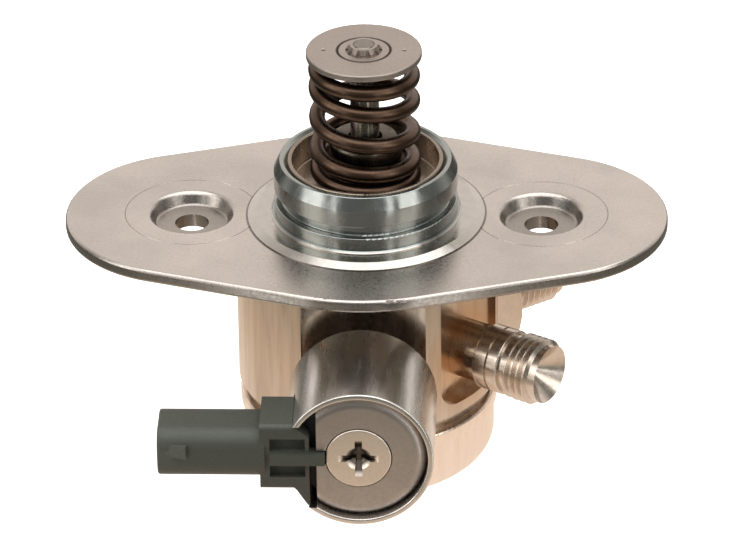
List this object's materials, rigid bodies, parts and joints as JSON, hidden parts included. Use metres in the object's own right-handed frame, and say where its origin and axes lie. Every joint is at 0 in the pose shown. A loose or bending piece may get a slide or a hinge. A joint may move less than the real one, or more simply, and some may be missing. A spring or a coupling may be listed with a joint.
{
  "type": "high pressure fuel pump",
  "caption": "Single plunger high pressure fuel pump with an oval bolt flange, sprung plunger, solenoid valve, plug connector, and threaded inlet and outlet.",
  "frame": {"origin": "where the plunger's axis meets the face of the flange that bolts to the engine", "axes": "+Z out along the plunger towards the cam, +X along the flange from bolt hole to bolt hole on the outlet's side, -Y along the solenoid valve"},
  "size_m": [0.124, 0.0922, 0.0935],
  "materials": {
    "machined_steel": "turned and milled stainless steel with a warm tint",
    "pressed_steel": "satin pressed stainless sheet",
    "hardened_steel": "ground hardened steel",
    "retainer_steel": "matt grey-brown surface",
    "spring_steel": "dark bronze-brown oil-hardened wire",
    "carrier_steel": "drawn stainless sheet with a tan tint",
    "seal_plastic": "filled fluoropolymer",
    "seal_rubber": "fluoroelastomer",
    "cap_steel": "drawn stainless sheet, pale and satin",
    "diaphragm_steel": "rolled stainless sheet",
    "valve_spring_steel": "fine spring wire",
    "magnet_steel": "turned soft magnetic steel",
    "bobbin_plastic": "glass-filled plastic",
    "winding_copper": "enamelled copper wire",
    "drawn_steel": "shiny drawn stainless cover",
    "plate_steel": "matt warm grey plate",
    "screw_zinc": "pale zinc-nickel coat",
    "connector_plastic": "grey-green moulded plastic",
    "terminal_brass": "tinned brass",
    "fitting_steel": "turned stainless steel",
    "filter_plastic": "moulded plastic mesh"
  },
  "bodies": {
    "pump": {"pump_body": "machined_steel", "mounting_flange": "pressed_steel", "barrel": "hardened_steel", "plunger_spring": "spring_steel", "seal_carrier": "carrier_steel", "plunger_seal": "seal_plastic", "seal_energizer_ring": "seal_rubber", "seal_support_washer": "hardened_steel", "damper_cap": "cap_steel", "damper_clamp_ring_upper": "pressed_steel", "damper_clamp_ring_lower": "pressed_steel", "damper_diaphragm_upper": "diaphragm_steel", "damper_diaphragm_lower": "diaphragm_steel", "inlet_valve_stop": "hardened_steel", "inlet_valve_spring": "valve_spring_steel", "inlet_valve_seat": "hardened_steel", "valve_seal_ring": "seal_rubber", "armature_spring": "valve_spring_steel", "valve_sleeve": "hardened_steel", "fixed_core": "magnet_steel", "coil_bobbin": "bobbin_plastic", "coil_winding": "winding_copper", "solenoid_cover": "drawn_steel", "end_plate": "plate_steel", "cover_screw": "screw_zinc", "connector_housing": "connector_plastic", "connector_terminals": "terminal_brass", "outlet_fitting": "fitting_steel", "outlet_valve_seat": "hardened_steel", "outlet_valve_spring": "valve_spring_steel", "inlet_fitting": "fitting_steel", "inlet_filter": "filter_plastic", "relief_valve_seat": "hardened_steel", "relief_valve_spring": "valve_spring_steel", "relief_valve_stop": "hardened_steel"},
    "plunger": {"plunger": "hardened_steel", "spring_retainer": "retainer_steel"},
    "armature": {"armature": "magnet_steel", "valve_needle": "hardened_steel"},
    "inlet_disc": {"inlet_valve_disc": "hardened_steel"},
    "outlet_ball": {"outlet_valve_ball": "hardened_steel"},
    "relief_ball": {"relief_valve_ball": "hardened_steel", "relief_ball_guide": "hardened_steel"}
  },
  "joints": [
    {"name": "plunger_stroke", "type": "slide", "parent": "pump", "child": "plunger", "axis": [0, 0, 1], "range_m": [-0.0055, 0], "stiffness_N_per_m": 15000, "springref_m": 0.01, "deforming": ["plunger_spring"]},
    {"name": "armature_stroke", "type": "slide", "parent": "pump", "child": "armature", "axis": [0, -1, 0], "range_m": [0, 0.0005], "stiffness_N_per_m": 1500, "springref_m": -0.003, "deforming": ["armature_spring"]},
    {"name": "inlet_valve_lift", "type": "slide", "parent": "pump", "child": "inlet_disc", "axis": [0, -1, 0], "range_m": [0, 0.0004], "deforming": ["inlet_valve_spring"]},
    {"name": "outlet_ball_lift", "type": "slide", "parent": "pump", "child": "outlet_ball", "axis": [0.848, -0.5299, 0], "range_m": [0, 0.0006], "stiffness_N_per_m": 2000, "springref_m": -0.001, "deforming": ["outlet_valve_spring"]},
    {"name": "relief_ball_lift", "type": "slide", "parent": "pump", "child": "relief_ball", "axis": [0, 0, -1], "range_m": [0, 0.0003], "stiffness_N_per_m": 4000, "springref_m": -0.001, "deforming": ["relief_valve_spring"]}
  ],
  "couplings": [
    {"joint": "inlet_valve_lift", "follows": "armature_stroke", "ratio": 0.78}
  ]
}
